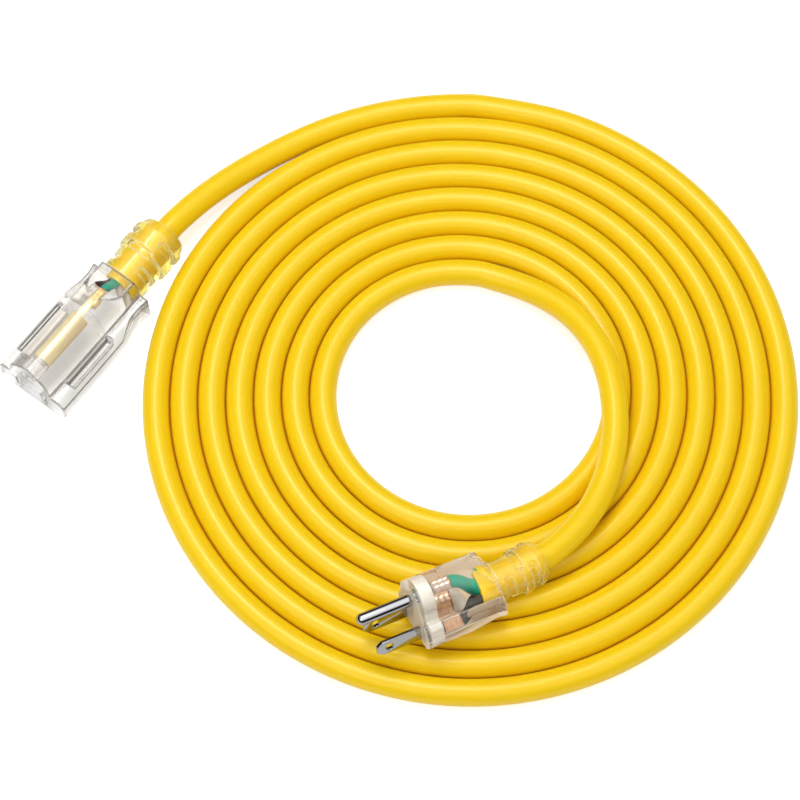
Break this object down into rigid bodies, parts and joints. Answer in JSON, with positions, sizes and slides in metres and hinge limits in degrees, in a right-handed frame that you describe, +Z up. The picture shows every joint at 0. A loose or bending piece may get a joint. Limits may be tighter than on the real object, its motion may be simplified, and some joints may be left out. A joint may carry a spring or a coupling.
{
  "type": "extension cord",
  "caption": "Three-wire extension cord in a flat round coil, with a clear moulded grounded plug on its inner end and a clear connector on its outer end.",
  "frame": {"origin": "on the surface that the cord lies on, under the middle of the whole object's box", "axes": "+Z up from the surface, +X along the longest side, away from the connector; +Y away from the plug's side of the coil"},
  "size_m": [0.3143, 0.2633, 0.0393],
  "materials": {
    "yellow_jacket": "satin flexible vinyl jacket",
    "clear_housing": "clear moulded vinyl, glossy",
    "clear_strain_relief": "clear moulded vinyl over the yellow jacket",
    "frosted_bridge": "frosted clear plastic",
    "clear_carrier": "clear moulded plastic",
    "plated_pins": "bright nickel plate on brass",
    "brass_contacts": "stamped brass",
    "bare_copper": "bare stranded copper",
    "black_insulation": "smooth vinyl insulation",
    "white_insulation": "smooth vinyl insulation",
    "green_insulation": "smooth vinyl insulation"
  },
  "bodies": {
    "root": {"cord_coil": "yellow_jacket", "plug_lead": "yellow_jacket", "connector_lead": "yellow_jacket", "plug_housing": "clear_housing", "plug_strain_relief": "clear_strain_relief", "plug_bridge": "frosted_bridge", "plug_line_blade": "plated_pins", "plug_neutral_blade": "plated_pins", "plug_ground_pin": "plated_pins", "plug_jacket_end": "yellow_jacket", "plug_line_wire": "black_insulation", "plug_neutral_wire": "white_insulation", "plug_ground_wire": "green_insulation", "plug_line_strands": "bare_copper", "plug_neutral_strands": "bare_copper", "plug_ground_strands": "bare_copper", "connector_housing": "clear_housing", "connector_strain_relief": "clear_strain_relief", "connector_contact_carrier": "clear_carrier", "connector_line_contact": "brass_contacts", "connector_neutral_contact": "brass_contacts", "connector_ground_contact": "brass_contacts", "connector_jacket_end": "yellow_jacket", "connector_line_wire": "black_insulation", "connector_neutral_wire": "white_insulation", "connector_ground_wire": "green_insulation", "connector_line_strands": "bare_copper", "connector_neutral_strands": "bare_copper", "connector_ground_strands": "bare_copper"}
  },
  "joints": []
}
